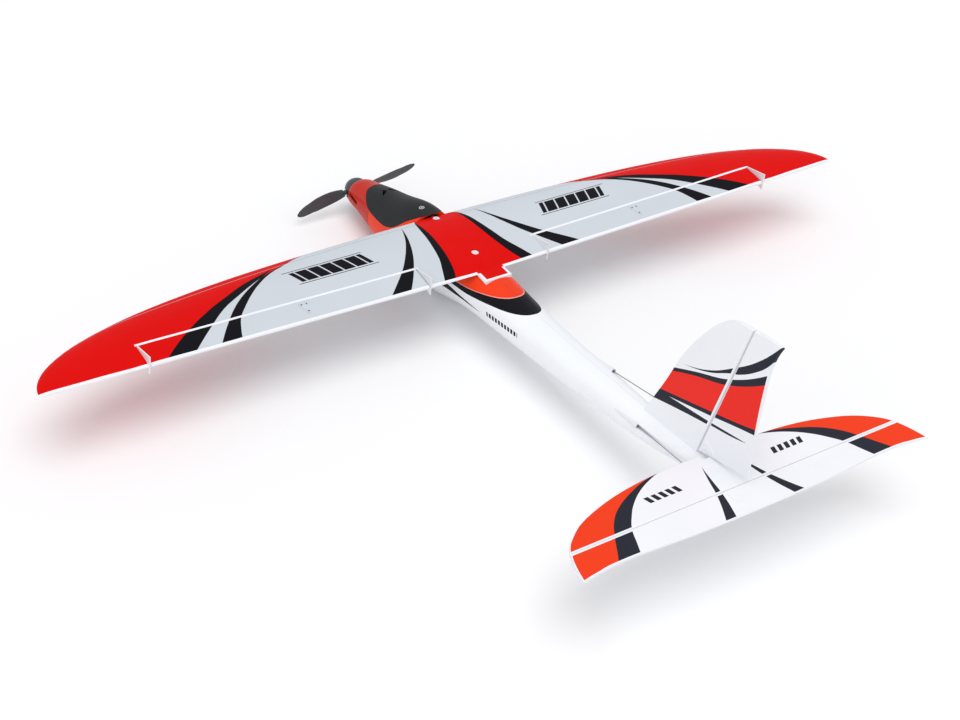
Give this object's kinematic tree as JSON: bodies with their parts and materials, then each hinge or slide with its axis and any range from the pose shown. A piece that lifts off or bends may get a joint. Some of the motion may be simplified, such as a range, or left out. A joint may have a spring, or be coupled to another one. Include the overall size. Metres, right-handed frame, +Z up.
{
  "type": "rc glider",
  "caption": "Electric radio-control glider with elliptical wing, ailerons, folding nose propeller, lift-up hatch, fin with rudder and low-set tailplane on a slim boom.",
  "frame": {"origin": "below the middle of the bounding box, on the plane that the belly skid rests on", "axes": "+X to the port wing tip, nose towards -Y, tail towards +Y, +Z up"},
  "size_m": [1.1, 0.7733, 0.268],
  "materials": {
    "printed_foam": "satin printed film over moulded bead foam",
    "body_foam": "satin painted bead foam",
    "red_cowl": "satin gloss red",
    "black_hatch": "satin black paint",
    "black_plastic": "satin moulded nylon",
    "white_plastic": "moulded white nylon",
    "dark_nylon": "moulded nylon",
    "servo_case": "smooth moulded case",
    "steel": "drawn wire",
    "carbon": "pultruded carbon tube",
    "plywood": "birch plywood",
    "alloy": "turned and anodised",
    "motor_core": "laminated stator with windings",
    "battery_wrap": "heat-shrink wrap",
    "strap": "woven hook-and-loop",
    "electronics": "heat-shrink sleeve",
    "magnet": "nickel-plated"
  },
  "bodies": {
    "airframe": {"fuselage_port_shell": "body_foam", "fuselage_starboard_shell": "body_foam", "nose_cowl": "red_cowl", "belly_skid": "white_plastic", "wing": "printed_foam", "wing_spar_tubes": "carbon", "wing_screws": "white_plastic", "wing_screw_blocks": "plywood", "aileron_gap_fences": "white_plastic", "aileron_servo_port": "servo_case", "aileron_servo_starboard": "servo_case", "fin": "printed_foam", "horizontal_stabilizer": "printed_foam", "elevator_servo": "servo_case", "rudder_servo": "servo_case", "servo_rails": "plywood", "pushrod_sleeves": "white_plastic", "equipment_tray": "plywood", "battery": "battery_wrap", "battery_strap": "strap", "speed_controller": "electronics", "receiver": "electronics", "hatch_former": "plywood", "fuselage_magnet": "magnet", "motor_bulkhead": "plywood", "motor_bulkhead_screws": "steel", "motor_stator": "motor_core"},
    "propeller": {"motor_bell": "alloy", "propeller_hub": "alloy", "blade_pins": "steel", "spinner": "black_plastic", "spinner_screw": "steel"},
    "blade_port": {"blade_port": "black_plastic"},
    "blade_starboard": {"blade_starboard": "black_plastic"},
    "hatch": {"canopy_hatch": "black_hatch", "hatch_magnet": "magnet"},
    "aileron_port": {"aileron_port": "printed_foam", "aileron_horn_port": "white_plastic", "aileron_back_plate_port": "white_plastic"},
    "aileron_port_servo_arm": {"aileron_servo_arm_port": "dark_nylon"},
    "aileron_port_pushrod": {"aileron_pushrod_port": "steel", "aileron_clevis_port": "dark_nylon"},
    "aileron_starboard": {"aileron_starboard": "printed_foam", "aileron_horn_starboard": "white_plastic", "aileron_back_plate_starboard": "white_plastic"},
    "aileron_starboard_servo_arm": {"aileron_servo_arm_starboard": "dark_nylon"},
    "aileron_starboard_pushrod": {"aileron_pushrod_starboard": "steel", "aileron_clevis_starboard": "dark_nylon"},
    "elevator": {"elevator": "printed_foam", "elevator_horn": "white_plastic", "elevator_back_plate": "white_plastic"},
    "elevator_servo_arm": {"elevator_servo_arm": "dark_nylon"},
    "elevator_pushrod": {"elevator_pushrod": "steel", "elevator_clevis": "dark_nylon"},
    "rudder": {"rudder": "printed_foam", "rudder_horn": "white_plastic", "rudder_back_plate": "white_plastic"},
    "rudder_servo_arm": {"rudder_servo_arm": "dark_nylon"},
    "rudder_pushrod": {"rudder_pushrod": "steel", "rudder_clevis": "dark_nylon"}
  },
  "joints": [
    {"name": "aileron_port_hinge", "type": "hinge", "parent": "airframe", "child": "aileron_port", "pos_m": [0.0815, -0.11885, 0.08916], "axis": [0.9998, -0.0155, 0.0079], "range_deg": [-16, 20]},
    {"name": "aileron_port_servo_arm_turn", "type": "hinge", "parent": "airframe", "child": "aileron_port_servo_arm", "pos_m": [0.23238, -0.16119, 0.08755], "axis": [0.9998, -0.0155, 0.0079], "range_deg": [-17, 21]},
    {"name": "aileron_port_pushrod_pivot", "type": "hinge", "parent": "aileron_port_servo_arm", "child": "aileron_port_pushrod", "pos_m": [0.23327, -0.16121, 0.07556], "axis": [0.9998, -0.0155, 0.0079], "range_deg": [-21, 17]},
    {"name": "aileron_starboard_hinge", "type": "hinge", "parent": "airframe", "child": "aileron_starboard", "pos_m": [-0.0815, -0.11885, 0.08916], "axis": [0.9998, 0.0155, -0.0079], "range_deg": [-16, 20]},
    {"name": "aileron_starboard_servo_arm_turn", "type": "hinge", "parent": "airframe", "child": "aileron_starboard_servo_arm", "pos_m": [-0.23238, -0.16119, 0.08755], "axis": [0.9998, 0.0155, -0.0079], "range_deg": [-17, 21]},
    {"name": "aileron_starboard_pushrod_pivot", "type": "hinge", "parent": "aileron_starboard_servo_arm", "child": "aileron_starboard_pushrod", "pos_m": [-0.23327, -0.16121, 0.07556], "axis": [0.9998, 0.0155, -0.0079], "range_deg": [-21, 17]},
    {"name": "elevator_hinge", "type": "hinge", "parent": "airframe", "child": "elevator", "pos_m": [0, 0.35015, 0.0946], "axis": [1, 0, 0], "range_deg": [-18, 20]},
    {"name": "elevator_servo_arm_turn", "type": "hinge", "parent": "airframe", "child": "elevator_servo_arm", "pos_m": [0.013, -0.06585, 0.067], "axis": [1, 0, 0], "range_deg": [-19, 21]},
    {"name": "elevator_pushrod_pivot", "type": "hinge", "parent": "elevator_servo_arm", "child": "elevator_pushrod", "pos_m": [0.0138, -0.06585, 0.054], "axis": [1, 0, 0], "range_deg": [-21, 19]},
    {"name": "rudder_hinge", "type": "hinge", "parent": "airframe", "child": "rudder", "pos_m": [0, 0.28275, 0.089], "axis": [0, 0.1976, 0.9803], "range_deg": [-20, 20]},
    {"name": "rudder_servo_arm_turn", "type": "hinge", "parent": "airframe", "child": "rudder_servo_arm", "pos_m": [-0.002, -0.11585, 0.035], "axis": [0, 0.1976, 0.9803], "range_deg": [-21, 21]},
    {"name": "rudder_pushrod_pivot", "type": "hinge", "parent": "rudder_servo_arm", "child": "rudder_pushrod", "pos_m": [-0.014, -0.11601, 0.03422], "axis": [0, 0.1976, 0.9803], "range_deg": [-21, 21]},
    {"name": "propeller_spin", "type": "hinge", "parent": "airframe", "child": "propeller", "pos_m": [0, -0.37285, 0.031], "axis": [0, 1, 0], "continuous": true},
    {"name": "blade_port_fold", "type": "hinge", "parent": "propeller", "child": "blade_port", "pos_m": [0.01138, -0.37285, 0.02934], "axis": [0.1444, 0, 0.9895], "range_deg": [-3.2, 33]},
    {"name": "blade_starboard_fold", "type": "hinge", "parent": "propeller", "child": "blade_starboard", "pos_m": [-0.01138, -0.37285, 0.03266], "axis": [-0.1444, 0, -0.9895], "range_deg": [-3.2, 33]},
    {"name": "hatch_tilt", "type": "hinge", "parent": "airframe", "child": "hatch", "pos_m": [0, -0.33205, 0.0625], "axis": [1, 0, 0], "range_deg": [0, 45]}
  ],
  "couplings": [
    {"joint": "aileron_port_servo_arm_turn", "follows": "aileron_port_hinge", "ratio": 1},
    {"joint": "aileron_port_pushrod_pivot", "follows": "aileron_port_hinge", "ratio": -1},
    {"joint": "aileron_starboard_servo_arm_turn", "follows": "aileron_starboard_hinge", "ratio": 1},
    {"joint": "aileron_starboard_pushrod_pivot", "follows": "aileron_starboard_hinge", "ratio": -1},
    {"joint": "elevator_servo_arm_turn", "follows": "elevator_hinge", "ratio": 1},
    {"joint": "elevator_pushrod_pivot", "follows": "elevator_hinge", "ratio": -1},
    {"joint": "rudder_servo_arm_turn", "follows": "rudder_hinge", "ratio": 1},
    {"joint": "rudder_pushrod_pivot", "follows": "rudder_hinge", "ratio": -1}
  ]
}
